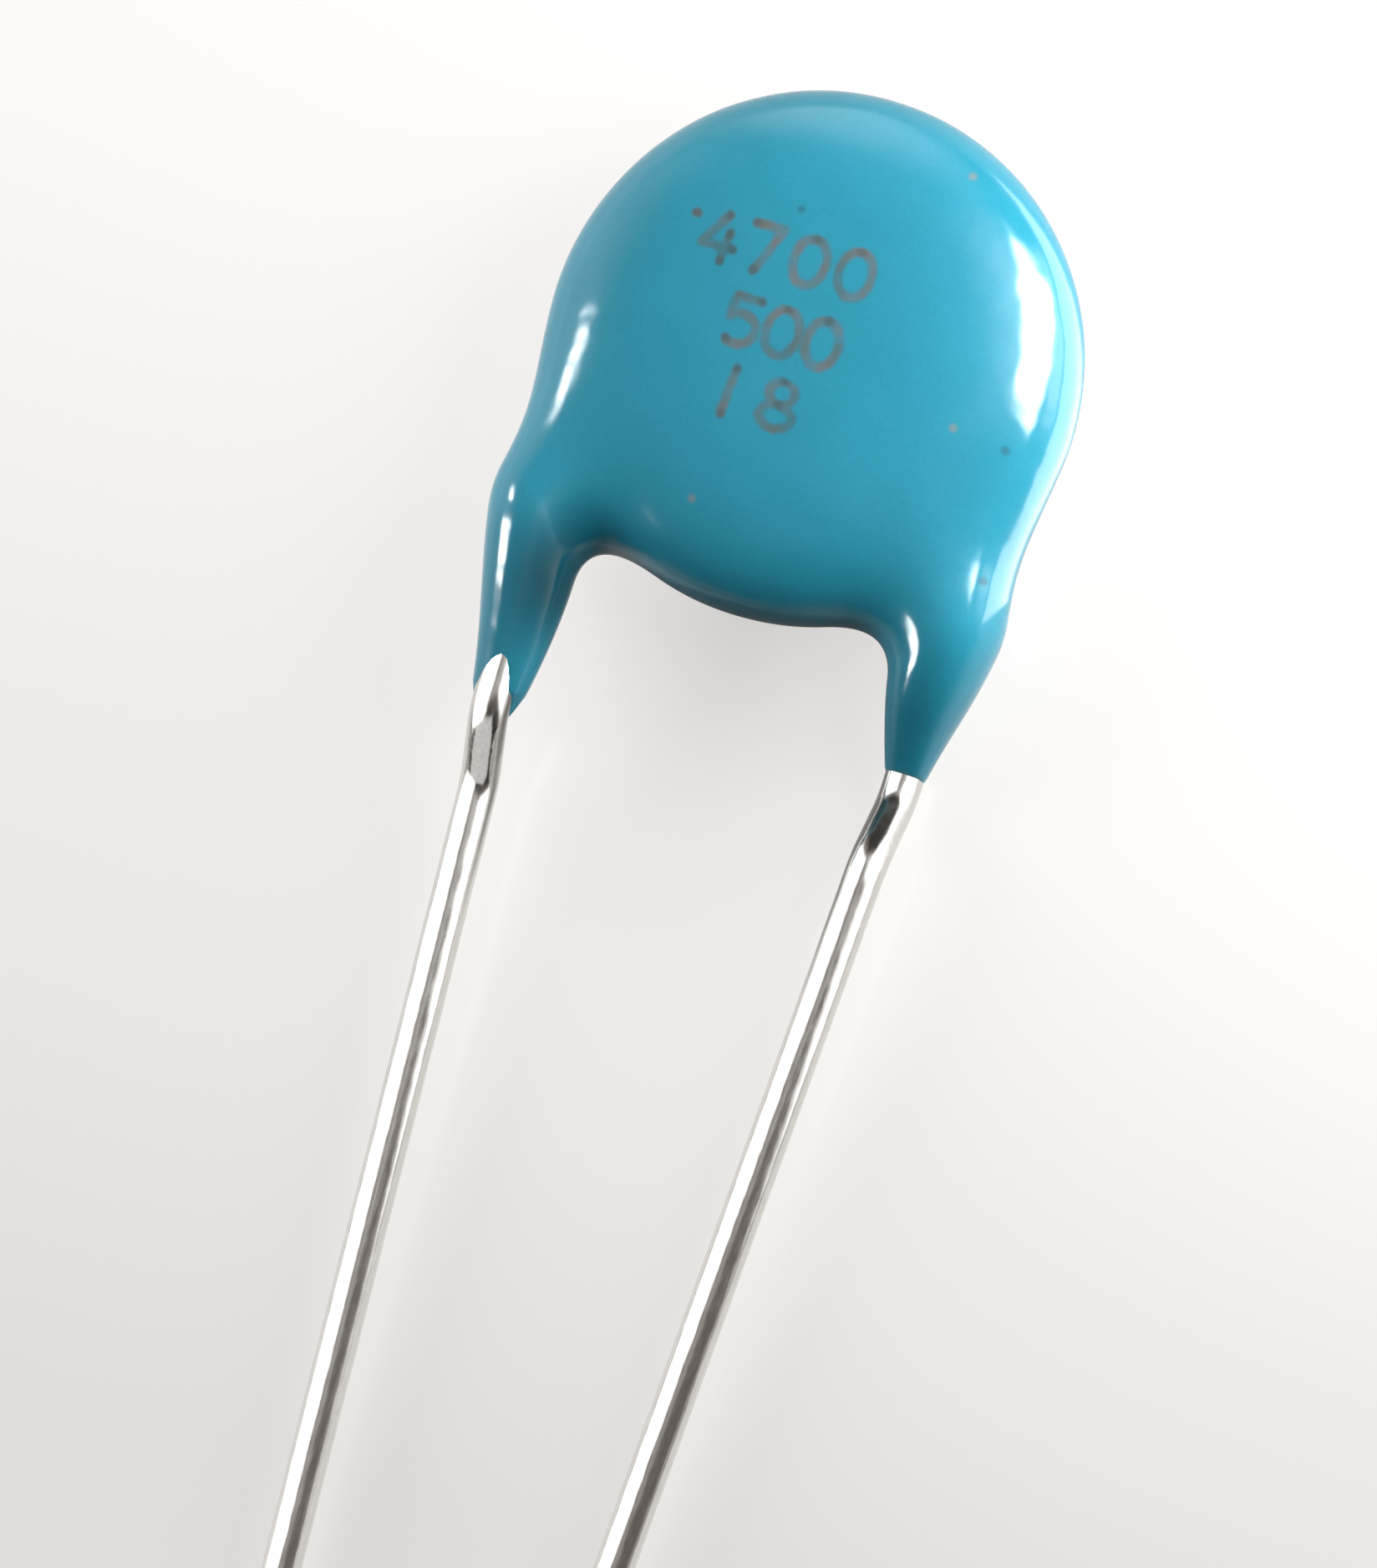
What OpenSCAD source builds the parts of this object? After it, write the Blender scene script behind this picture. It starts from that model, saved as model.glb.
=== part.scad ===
// Ceramic disc capacitor with radial leads and one dipped epoxy coat.
// It is drawn standing in its own axes: X across the leads, Y up the disc away
// from the leads, Z out of the marked face, zero at the middle of the ceramic.
// lay() then puts it on its back, as it comes to rest on a table.

/* [Ceramic] */
// Diameter of the sintered dielectric disc
ceramic_d = 6.4; // [5.6:0.1:6.8]
// Thickness of the dielectric disc
ceramic_t = 0.6; // [0.4:0.05:0.8]
// Diameter of each fired silver layer
electrode_d = 5.6; // [4.8:0.1:6.2]
// Thickness of each silver layer
electrode_t = 0.03; // [0.02:0.01:0.05]

/* [Leads] */
// Diameter of the tinned wire
wire_d = 0.6; // [0.5:0.05:0.7]
// Distance between the wires where they leave the coat
wire_pitch = 6; // [5.4:0.1:6.4]
// Distance between the tips of the two leads
tip_pitch = 3.9; // [2.5:0.1:6]
// Height of the disc's middle above the tips
lead_reach = 27.5; // [12:0.5:40]
// Radius of every bend, at the middle of the wire
bend_r = 0.9; // [0.5:0.1:1.1]
// Steepness of the jog that brings both leads into one plane
jog_angle = 33; // [20:1:45]
// Depth below the disc's middle at which the front lead starts its jog
front_jog_drop = 6.25; // [6.1:0.05:8]
// Depth below the disc's middle at which the back lead starts its jog
back_jog_drop = 5.75; // [5.6:0.05:8]
// Angle of the sealed wire ends from straight up, toward the middle
hook_angle = 45; // [30:1:55]
// Length of each sealed wire end past its bend
hook_len = 3; // [2.4:0.1:3.4]
// Depth below the disc's middle at which the sealed ends start to bend in
hook_drop = 2.4; // [2.2:0.05:2.8]

/* [Solder] */
// Diameter of the solder mound on each electrode
solder_d = 2; // [1.4:0.1:2.2]
// Height of the solder mound
solder_h = 0.7; // [0.62:0.02:0.8]
// Solder left between the wire and the silver
solder_film = 0.02; // [0.01:0.01:0.04]

/* [Coat] */
// Diameter of the coated disc
coat_d = 8.15; // [7.8:0.05:9]
// Thickness of the coated disc
coat_t = 2.6; // [2.5:0.1:3.4]
// How flat the faces are: 2 is a lens, higher is a pill
face_power = 4; // [3.4:0.2:6]
// Shortening of the disc's lower half, toward the leads
lower_squash = 0.95; // [0.92:0.01:1]
// Reach of the fillets that the wet coat draws between disc and legs
web_blend = 1.2; // [0.9:0.05:1.4]

/* [Legs of the coat] */
// Width of the front leg at its shoulder
front_leg_w = 1.7; // [1.4:0.02:1.9]
// Coat under the front wire, toward the back, at the leg's shoulder
front_under = 1; // [0.8:0.05:1.4]
// Distance that the front leg's shoulder stands outward of its wire
front_out = 0.3; // [0:0.02:0.36]
// Depth below the disc's middle at which the front leg ends
front_leg_drop = 5.9; // [5.5:0.05:6]
// Slope of the front leg's end: the wire is bare sooner on the outside
front_end_slant = 1.1; // [0:0.1:1.2]
// Coat left round the wire where the front leg ends
front_lip = 0.08; // [0.04:0.01:0.12]
// Width of the back leg at its shoulder
back_leg_w = 1.7; // [1.4:0.02:1.9]
// Coat under the back wire, toward the front, at the leg's shoulder
back_under = 1.35; // [0.8:0.05:1.45]
// Distance that the back leg's shoulder stands outward of its wire
back_out = 0.16; // [0:0.02:0.36]
// Depth below the disc's middle at which the back leg ends
back_leg_drop = 5.35; // [5.25:0.05:5.5]
// Coat left round the wire where the back leg ends
back_lip = 0.04; // [0.04:0.01:0.12]
// Coat over the outside of each wire at the leg's shoulder
shoulder_skin = 0.2; // [0.14:0.02:0.4]
// Depth below the disc's middle of both shoulders
shoulder_drop = 3.4; // [3.2:0.1:3.8]
// How early a leg's taper eases into its shoulder: 0 is a sharp ring
shoulder_ease = 0.6; // [0.2:0.1:1]
// Length of a leg's rounded top, which sinks into the disc above the shoulder
leg_cap = 1.5; // [1.3:0.1:2.5]

/* [Hidden] */

$fn = 48;
front = 1;
back = -1;
coat_r = coat_d / 2;
wire_r = wire_d / 2;
// Height of the silver's outer face, and of a wire's middle, above the ceramic's middle.
silver_z = ceramic_t / 2 + electrode_t;
wire_z = silver_z + solder_film + wire_r;
leg_x = wire_pitch / 2;
// A bend is drawn out thinner than the straights and reaches a little into them.
bend_wire_r = wire_r - 0.002;
bend_overlap = 0.02;

// The rings of the coat: planes up the front leg, a fan round the point between
// the legs, and planes down the back leg.
fan_y = -5;
fan_steps = 60;
front_leg_steps = 8;
back_leg_steps = 4;
ring_points = 48;
halvings = 6;

blue = "#3d9fb8";
tin = "#c9ccd0";

function leg_drop(side) = side == front ? front_leg_drop : back_leg_drop;
function leg_w(side) = side == front ? front_leg_w : back_leg_w;
function lip(side) = side == front ? front_lip : back_lip;
function jog_drop(side) = side == front ? front_jog_drop : back_jog_drop;
function end_slant(side) = side == front ? front_end_slant : 0;
function leg_under(side) = side == front ? front_under : back_under;
function leg_out(side) = side == front ? front_out : back_out;

// ---- Leads -------------------------------------------------------------

// Corner points of a lead's middle line, from its sealed end to its tip. The
// front lead is on the -X side and the back lead on the +X side.
function lead_corners(side) =
    let (
        x = -side * leg_x,
        z = side * wire_z,
        jog_run = wire_z / tan(jog_angle),
        bend_y = -hook_drop,
        jog_y = -jog_drop(side)
    )
    [
        [x + side * hook_len * sin(hook_angle), bend_y + hook_len * cos(hook_angle), z],
        [x, bend_y, z],
        [x, jog_y, z],
        [x, jog_y - jog_run, 0],
        [-side * tip_pitch / 2, -lead_reach, 0]
    ];

function unit(v) = v / norm(v);
function turn(a, b) = acos(max(-1, min(1, a * b)));
// Length of wire that a bend takes from each of the two straights that it joins.
function bend_cut(a, b) = bend_r * tan(turn(a, b) / 2);

// Places a shape drawn along +Z from the origin onto a start point and a direction,
// with its +X turned toward a third direction.
module place(from, z_dir, x_dir) {
    y_dir = cross(z_dir, x_dir);
    multmatrix([
        [x_dir[0], y_dir[0], z_dir[0], from[0]],
        [x_dir[1], y_dir[1], z_dir[1], from[1]],
        [x_dir[2], y_dir[2], z_dir[2], from[2]]
    ]) children();
}

// Any direction square to a given one.
function square_to(d) = unit(cross(d, abs(d[2]) < 0.9 ? [0, 0, 1] : [1, 0, 0]));

module straight_wire(from, to) {
    place(from, unit(to - from), square_to(unit(to - from)))
        cylinder(h = norm(to - from), r = wire_r);
}

// An arc of wire that turns from direction a to direction b at a corner.
module bent_wire(corner, a, b) {
    start = corner - bend_cut(a, b) * a;
    inward = unit(b - (a * b) * a);
    // The arc's own frame: +X from its centre to its start, +Y along a.
    place(start + bend_r * inward, cross(-inward, a), -inward)
        rotate_extrude(angle = turn(a, b), $fn = 144)
            translate([bend_r, 0]) circle(r = bend_wire_r, $fn = 32);
}

module wire_along(corners) {
    last = len(corners) - 1;
    dirs = [for (i = [0:last - 1]) unit(corners[i + 1] - corners[i])];
    // Wire that a straight gives up to the bend at each of its ends.
    cuts = [0, for (i = [1:last - 1]) bend_cut(dirs[i - 1], dirs[i]) - bend_overlap, 0];
    for (i = [0:last - 1])
        straight_wire(corners[i] + cuts[i] * dirs[i], corners[i + 1] - cuts[i + 1] * dirs[i]);
    for (i = [1:last - 1])
        bent_wire(corners[i], dirs[i - 1], dirs[i]);
}

// ---- Sealed pieces -----------------------------------------------------

module ceramic_disc() {
    color("#b9a98c") cylinder(h = ceramic_t, d = ceramic_d, center = true, $fn = 96);
}

module electrode(side) {
    color("#d8d9d6")
        translate([0, 0, side * (ceramic_t + electrode_t) / 2])
            cylinder(h = electrode_t, d = electrode_d, center = true, $fn = 96);
}

// A cap of a ball that stands on the silver and holds the end of the wire.
module solder_joint(side) {
    corners = lead_corners(side);
    mound_r = solder_d / 2;
    ball_r = (pow(mound_r, 2) + pow(solder_h, 2)) / (2 * solder_h);
    wire_end = corners[0];
    middle = wire_end + 0.25 * hook_len * unit(corners[1] - corners[0]);
    color("#9fa3a6") difference() {
        intersection() {
            translate([middle[0], middle[1], side * (silver_z + solder_h - ball_r)])
                sphere(r = ball_r, $fn = 64);
            translate([middle[0], middle[1], side * (silver_z + solder_h)])
                cylinder(h = 2 * solder_h, r = mound_r + 1, center = true);
        }
        wire_along([for (i = [0:2]) corners[i]]);
    }
}

// ---- Coat --------------------------------------------------------------

// Lower of two values, rounded over where they come within k of each other.
function soft_min(a, b, k) =
    let (overlap = max(k - abs(a - b), 0))
    min(a, b) - overlap * overlap / (4 * k);

function blend(a, b, t) = a + (b - a) * t;

// Depth of a point outside (+) or inside (-) the coated disc alone.
function disc_depth(p) =
    let (
        y = p[1] < 0 ? p[1] / lower_squash : p[1],
        rim = pow((p[0] * p[0] + y * y) / (coat_r * coat_r), face_power / 2),
        face = pow(p[2] / (coat_t / 2), 2)
    )
    (rim + face - 1) * coat_r / face_power;

// Share of the way from a leg's end, 0, to its shoulder, 1, eased into the 1.
function widened(side, y) =
    soft_min((y + leg_drop(side)) / (leg_drop(side) - shoulder_drop), 1, shoulder_ease);

// Coat over and under a wire at a height, and half the width of its leg.
function over_wire(side, y) = blend(lip(side), shoulder_skin, widened(side, y));
function under_wire(side, y) = blend(lip(side), leg_under(side), widened(side, y));
function half_width(side, y) = blend(wire_r + lip(side), leg_w(side) / 2, widened(side, y));

// Middle of the leg's oval section at a height, and its two half sizes.
function leg_middle(side, y) = [
    -side * (leg_x + leg_out(side) * pow(widened(side, y), 2)),
    y,
    side * (wire_z + (over_wire(side, y) - under_wire(side, y)) / 2)
];
function leg_half(side, y) =
    [half_width(side, y), wire_r + (over_wire(side, y) + under_wire(side, y)) / 2];

// Depth of a point outside or inside the coat that follows one lead.
function leg_depth(side, p) =
    let (
        above = max(0, p[1] + shoulder_drop),
        half = leg_half(side, p[1]),
        from = p - leg_middle(side, p[1]),
        oval = norm([from[0] / half[0], above / leg_cap, from[2] / half[1]])
    )
    (oval - 1) * (half[0] + half[1]) / 2;

// The coat's surface is where this depth is zero.
function coat_depth(p) =
    soft_min(soft_min(disc_depth(p), leg_depth(front, p), web_blend), leg_depth(back, p), web_blend);

// Where a straight line between two depths crosses zero.
function crossing(near, far, at_near, at_far) = near - at_near * (far - near) / (at_far - at_near);

// Distance along a ray at which it leaves the coat: halving brackets it, and two
// straight-line estimates finish it.
function way_out(from, dir, near, far, steps) =
    let (middle = (near + far) / 2)
    steps > 0
    ? (coat_depth(from + middle * dir) < 0
        ? way_out(from, dir, middle, far, steps - 1)
        : way_out(from, dir, near, middle, steps - 1))
    : let (
        at_near = coat_depth(from + near * dir),
        at_far = coat_depth(from + far * dir),
        guess = crossing(near, far, at_near, at_far),
        at_guess = coat_depth(from + guess * dir)
    )
    at_guess < 0 ? crossing(guess, far, at_guess, at_far) : crossing(near, guess, at_near, at_guess);

// First distance along a ray, in steps, that lies inside the coat.
function first_inside(from, dir, t, step) =
    coat_depth(from + t * dir) < 0 ? t : first_inside(from, dir, t + step, step);

// One ring of points round a middle point, in the plane of two directions.
function ring(middle, across, out) = [
    for (i = [0:ring_points - 1])
        let (
            a = 360 * i / ring_points,
            dir = cos(a) * across + sin(a) * out
        )
        middle + way_out(middle, dir, 0, 1.6, halvings) * dir
];

// A ring round a leg. Toward the leg's end its plane takes the slope of the end.
function leg_ring(side, y) =
    let (
        share = (fan_y - y) / (fan_y + leg_drop(side)),
        half = leg_half(side, y),
        slope = side * end_slant(side) * share
    )
    ring(leg_middle(side, y), [-side * half[0], 0, 0], [0, slope * half[1], half[1]]);

// A ring in a half plane that stands on the fan's axis, at an angle from +X.
function fan_ring(a) =
    let (
        side = a > 90 ? front : back,
        to_leg = pow(abs(cos(a)), 6),
        hinge = [0, fan_y, leg_middle(side, fan_y)[2] * to_leg],
        dir = [cos(a), sin(a), 0],
        near = first_inside(hinge, dir, 0.2, 0.1),
        far = first_inside(hinge, dir, coat_r - fan_y + 1, -0.1),
        half = (far - near) / 2,
        thick = blend(coat_t / 2, leg_half(side, fan_y)[1], to_leg)
    )
    ring(hinge + (near + half) * dir, half * dir, [0, 0, thick]);

coat_rings = concat(
    [for (i = [0:front_leg_steps - 1])
        leg_ring(front, blend(-front_leg_drop, fan_y, i / front_leg_steps))],
    [for (i = [0:fan_steps]) fan_ring(180 - 180 * i / fan_steps)],
    [for (i = [1:back_leg_steps])
        leg_ring(back, blend(fan_y, -back_leg_drop, i / back_leg_steps))]
);
coat_points = [for (r = coat_rings) each r];

function quad(a, b, c, d) = [[a, b, c], [a, c, d]];

module coat_solid() {
    n = ring_points;
    last = len(coat_rings) - 1;
    polyhedron(
        points = coat_points,
        faces = concat(
            [[for (j = [n - 1:-1:0]) j]],
            [for (i = [0:last - 1]) for (j = [0:n - 1])
                let (k = (j + 1) % n)
                each quad(i * n + j, i * n + k, (i + 1) * n + k, (i + 1) * n + j)],
            [[for (j = [0:n - 1]) last * n + j]]
        ),
        convexity = 6);
}

module coating() {
    color(blue) difference() {
        coat_solid();
        ceramic_disc();
        electrode(front);
        electrode(back);
        solder_joint(front);
        solder_joint(back);
        wire_along(lead_corners(front));
        wire_along(lead_corners(back));
    }
}

module lead(side) {
    color(tin) wire_along(lead_corners(side));
}

// ---- At rest -----------------------------------------------------------

// On a table the part lies on the back of the disc and the tips of both leads. The
// height of a point above the drawing's middle, turned by the pitch, about X:
function height(p, pitch) = p[1] * sin(pitch) + p[2] * cos(pitch);
function reach(p, pitch) = p[1] * cos(pitch) - p[2] * sin(pitch);

front_corners = lead_corners(front);
tip = front_corners[4];
tip_way = unit(tip - front_corners[3]);

// Lowest point of a lead's cut end, and of the coat, at a pitch.
function tip_low(pitch) =
    height(tip, pitch) - wire_r * sqrt(1 - pow(height(tip_way, pitch), 2));
function coat_low(pitch) = min([for (p = coat_points) height(p, pitch)]);

// Pitch at which the lead's tip and the coat's back touch the table together.
function settle(pitch, steps) =
    steps == 0 ? pitch
    : settle(pitch + atan((tip_low(pitch) - coat_low(pitch)) / (lead_reach - shoulder_drop)),
             steps - 1);
rest_pitch = settle(3, 4);

coat_reach = [for (p = coat_points) reach(p, rest_pitch)];
coat_across = [for (p = coat_points) p[0]];
tips_y = reach(tip, rest_pitch) - wire_r * sin(rest_pitch);
middle_x = (min(coat_across) + max(coat_across)) / 2;
middle_y = (tips_y + max(coat_reach)) / 2;

// Lays the standing part on the table, with the middle of its box over the origin.
module lay() {
    translate([-middle_x, -middle_y, -coat_low(rest_pitch)])
        rotate([rest_pitch, 0, 0])
            children();
}

lay() coating();
lay() ceramic_disc();
lay() electrode(front);  // front_electrode
lay() electrode(back);  // back_electrode
lay() solder_joint(front);  // front_solder_joint
lay() solder_joint(back);  // back_solder_joint
lay() lead(front);  // front_lead
lay() lead(back);  // back_lead
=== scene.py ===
# %% [markdown]
# # A ceramic disc capacitor
# A thin ceramic disc, silvered on both faces, has a tinned wire soldered to each
# face, and the whole is dipped in blue epoxy up to its "trousers", the two legs
# of coat that run a little way down the wires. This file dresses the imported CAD
# model of it: the coat and the wires get finer skins, and every surface a finish.

# %% Load the frame
import math

import bpy
from mathutils import Matrix, Vector


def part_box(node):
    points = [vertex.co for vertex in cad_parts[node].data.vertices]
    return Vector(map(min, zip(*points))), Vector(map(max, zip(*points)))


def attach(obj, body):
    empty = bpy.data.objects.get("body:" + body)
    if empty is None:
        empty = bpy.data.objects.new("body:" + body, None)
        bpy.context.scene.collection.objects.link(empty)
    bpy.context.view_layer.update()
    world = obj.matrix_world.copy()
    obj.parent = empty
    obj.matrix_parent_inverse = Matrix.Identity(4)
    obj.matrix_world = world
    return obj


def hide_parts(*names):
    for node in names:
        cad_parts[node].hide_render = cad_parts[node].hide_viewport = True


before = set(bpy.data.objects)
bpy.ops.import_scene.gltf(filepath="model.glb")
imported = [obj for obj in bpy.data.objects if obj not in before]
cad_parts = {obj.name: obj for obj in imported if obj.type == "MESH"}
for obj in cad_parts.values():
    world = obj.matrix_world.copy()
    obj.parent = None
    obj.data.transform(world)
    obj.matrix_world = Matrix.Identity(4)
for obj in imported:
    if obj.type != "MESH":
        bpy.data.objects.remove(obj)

scene = bpy.context.scene
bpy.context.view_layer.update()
print("nodes:", sorted(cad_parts))

# %% [markdown]
# ## How the part lies
# The part was drawn standing: X across the leads, Y up the disc away from them,
# Z out of the marked face, zero at the middle of the ceramic. On the table it
# rests on the back of the disc and on both tips, pitched by two degrees. The
# ceramic disc shows it: its box is centred on the drawing's zero, and its flat
# face gives the turn. One matrix then takes every drawn point, in millimetres,
# to its place in metres.

# %% The turn and place of the drawing
MM = 0.001
UPWARD = 0.99  # a face that points up by at least this cosine is part of the flat top


def lying_matrix(disc):
    """Millimetres in the drawing's own axes to metres on the table."""
    low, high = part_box(disc.name)
    upward = Vector((0, 0, 0))
    for face in disc.data.polygons:
        if face.normal.z > UPWARD:
            upward += face.normal * face.area
    upward.normalize()
    lean = math.asin(upward.x)
    pitch = math.atan2(-upward.y, upward.z)
    print(f"pitch {math.degrees(pitch):.2f} degrees, lean {math.degrees(lean):.2f} degrees")
    turn = Matrix.Rotation(pitch, 4, "X") @ Matrix.Rotation(lean, 4, "Y")
    return Matrix.Translation((low + high) / 2) @ turn @ Matrix.Scale(MM, 4)


LAY = lying_matrix(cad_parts["ceramic_disc"])

# %% [markdown]
# ## Three small helpers
# Colours are written as sRGB hex, the way a colour picker shows them, and Blender
# computes with linear light, so one function converts them. One function adds a
# node with its settings and links, for shapes and for finishes alike. One more
# opens a node tree with named inputs, so that its sizes can be read on it.

# %% Colours, nodes and trees
MATHS, VECTORS, MIX = "ShaderNodeMath", "ShaderNodeVectorMath", "ShaderNodeMix"
RANGE, NOISE = "ShaderNodeMapRange", "ShaderNodeTexNoise"
GROUP, GROUP_IN, GROUP_OUT = "GeometryNodeGroup", "NodeGroupInput", "NodeGroupOutput"
EASED = {"interpolation_type": "SMOOTHSTEP"}


def colour(code):
    """An sRGB hex colour as linear red, green, blue and a full alpha."""
    parts = [int(code[i:i + 2], 16) / 255 for i in (1, 3, 5)]
    linear = [c / 12.92 if c <= 0.04045 else ((c + 0.055) / 1.055) ** 2.4 for c in parts]
    return (*linear, 1)


def add(tree, kind, inputs=None, **settings):
    """Adds one node. An input is filled with a value, or with a node or output that feeds it."""
    made = tree.nodes.new(kind)
    for name, value in settings.items():
        setattr(made, name, value)
    for key, value in (inputs or {}).items():
        if isinstance(value, bpy.types.Node):
            value = value.outputs[0]
        if isinstance(value, bpy.types.NodeSocket):
            tree.links.new(value, made.inputs[key])
        else:
            made.inputs[key].default_value = value
    return made


def new_tree(name, inputs, gives):
    """A node tree with named inputs, each (socket type, value), and one named output."""
    tree = bpy.data.node_groups.new(name, "GeometryNodeTree")
    for label, (socket_type, value) in inputs.items():
        socket = tree.interface.new_socket(label, in_out="INPUT", socket_type=socket_type)
        if value is not None:
            socket.default_value = value
    tree.interface.new_socket(gives[0], in_out="OUTPUT", socket_type=gives[1])
    return tree, add(tree, GROUP_IN).outputs


# %% [markdown]
# ## The sizes of the coat
# These are the sizes that the coat was drawn with. The disc is a pill, rounder
# than a lens and flatter than a ball. Each leg is an oval sleeve round its wire
# that widens up to a shoulder, and its rounded cap sinks into the disc. Its half
# width and the coat over and under the wire are given at the end and shoulder.

# %% Sizes in millimetres
FLOAT, VECTOR, GEOMETRY, OBJECT = (
    "NodeSocketFloat", "NodeSocketVector", "NodeSocketGeometry", "NodeSocketObject")
WIRE_D = 0.6
WIRE_PITCH = 6.0
WIRE_Z = 0.65
DISC = {"Disc diameter": 8.15, "Disc thickness": 2.6, "Face power": 4.0, "Lower squash": 0.95}
WEB_BLEND = 1.2
# Side is 1 for a wire in front of the ceramic and -1 for one behind it.
LEGS = {
    "front": {"Side": 1.0, "Tip drop": 5.9, "Shoulder drop": 3.4, "Cap": 1.5, "Outward": 0.3,
              "Half at tip": 0.42, "Half at shoulder": 0.85, "Over at tip": -0.04,
              "Over at shoulder": 0.2, "Under at tip": 0.34, "Under at shoulder": 1.0},
    "back": {"Side": -1.0, "Tip drop": 5.35, "Shoulder drop": 3.4, "Cap": 1.5, "Outward": 0.16,
             "Half at tip": 0.34, "Half at shoulder": 0.85, "Over at tip": 0.04,
             "Over at shoulder": 0.2, "Under at tip": 0.04, "Under at shoulder": 1.35},
}

# %% [markdown]
# ## The rule of the coat's skin
# Wet epoxy pulls itself into the smallest skin: it rounds the disc, follows the
# wires, and fills the corners between them with webs. Modelling that by hand
# takes long, and a sculpt can't be resized. A rule does both: three simple
# forms each say how deep a point lies under their skin, and a soft minimum
# melts them into one. Each form is a small group for any point.

# %% A fillet between two forms
def soft_min_group():
    """The smaller of two values, with a fillet of the given reach where they meet."""
    tree, given = new_tree("soft_minimum", {
        "A": (FLOAT, 0.0), "B": (FLOAT, 0.0), "Reach": (FLOAT, WEB_BLEND)}, ("Depth", FLOAT))
    apart = add(tree, MATHS, {0: given["A"], 1: given["B"]}, operation="SUBTRACT")
    apart = add(tree, MATHS, {0: apart}, operation="ABSOLUTE")
    overlap = add(tree, MATHS, {0: given["Reach"], 1: apart}, operation="SUBTRACT")
    overlap = add(tree, MATHS, {0: overlap, 1: 0.0}, operation="MAXIMUM")
    square = add(tree, MATHS, {0: overlap, 1: overlap}, operation="MULTIPLY")
    four = add(tree, MATHS, {0: given["Reach"], 1: 4.0}, operation="MULTIPLY")
    fillet = add(tree, MATHS, {0: square, 1: four}, operation="DIVIDE")
    least = add(tree, MATHS, {0: given["A"], 1: given["B"]}, operation="MINIMUM")
    add(tree, GROUP_OUT, {0: add(tree, MATHS, {0: least, 1: fillet}, operation="SUBTRACT")})
    return tree


# %% Depth under the disc's skin
def disc_depth_group():
    """Below zero inside the pill, above zero outside, in millimetres near the skin."""
    sizes = {name: (FLOAT, value) for name, value in DISC.items()}
    tree, given = new_tree("disc_depth", {"Point": (VECTOR, None), **sizes}, ("Depth", FLOAT))
    point = add(tree, "ShaderNodeSeparateXYZ", {0: given["Point"]})
    # The lower half is a little shorter: y grows by 1 / squash below the middle.
    below = add(tree, MATHS, {0: point.outputs["Y"], 1: 0.0}, operation="MINIMUM")
    stretch = add(tree, MATHS, {0: 1.0, 1: given["Lower squash"]}, operation="DIVIDE")
    stretch = add(tree, MATHS, {0: stretch, 1: 1.0}, operation="SUBTRACT")
    y = add(tree, MATHS, {0: below, 1: stretch, 2: point.outputs["Y"]}, operation="MULTIPLY_ADD")
    across = add(tree, "ShaderNodeCombineXYZ", {0: point.outputs["X"], 1: y})
    radius = add(tree, MATHS, {0: given["Disc diameter"], 1: 0.5}, operation="MULTIPLY")
    reach = add(tree, VECTORS, {0: across}, operation="LENGTH").outputs["Value"]
    reach = add(tree, MATHS, {0: reach, 1: radius}, operation="DIVIDE")
    rim = add(tree, MATHS, {0: reach, 1: given["Face power"]}, operation="POWER")
    half = add(tree, MATHS, {0: given["Disc thickness"], 1: 0.5}, operation="MULTIPLY")
    face = add(tree, MATHS, {0: point.outputs["Z"], 1: half}, operation="DIVIDE")
    face = add(tree, MATHS, {0: face, 1: face, 2: rim}, operation="MULTIPLY_ADD")
    over = add(tree, MATHS, {0: face, 1: 1.0}, operation="SUBTRACT")
    scale = add(tree, MATHS, {0: radius, 1: given["Face power"]}, operation="DIVIDE")
    depth = add(tree, MATHS, {0: over, 1: scale}, operation="MULTIPLY")
    add(tree, GROUP_OUT, {0: depth})
    return tree


# %% Depth under a leg's skin
SHOULDER_ROUND = 0.6  # the length over which the taper eases into the shoulder
TAIL = 0.38  # how far the sleeve may reach past the end of the leg
CLOSING = {"Half": -0.15, "Over": -1.0, "Under": -0.8}  # growth for each millimetre past the end
LEAST_HALF = 0.02


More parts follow.
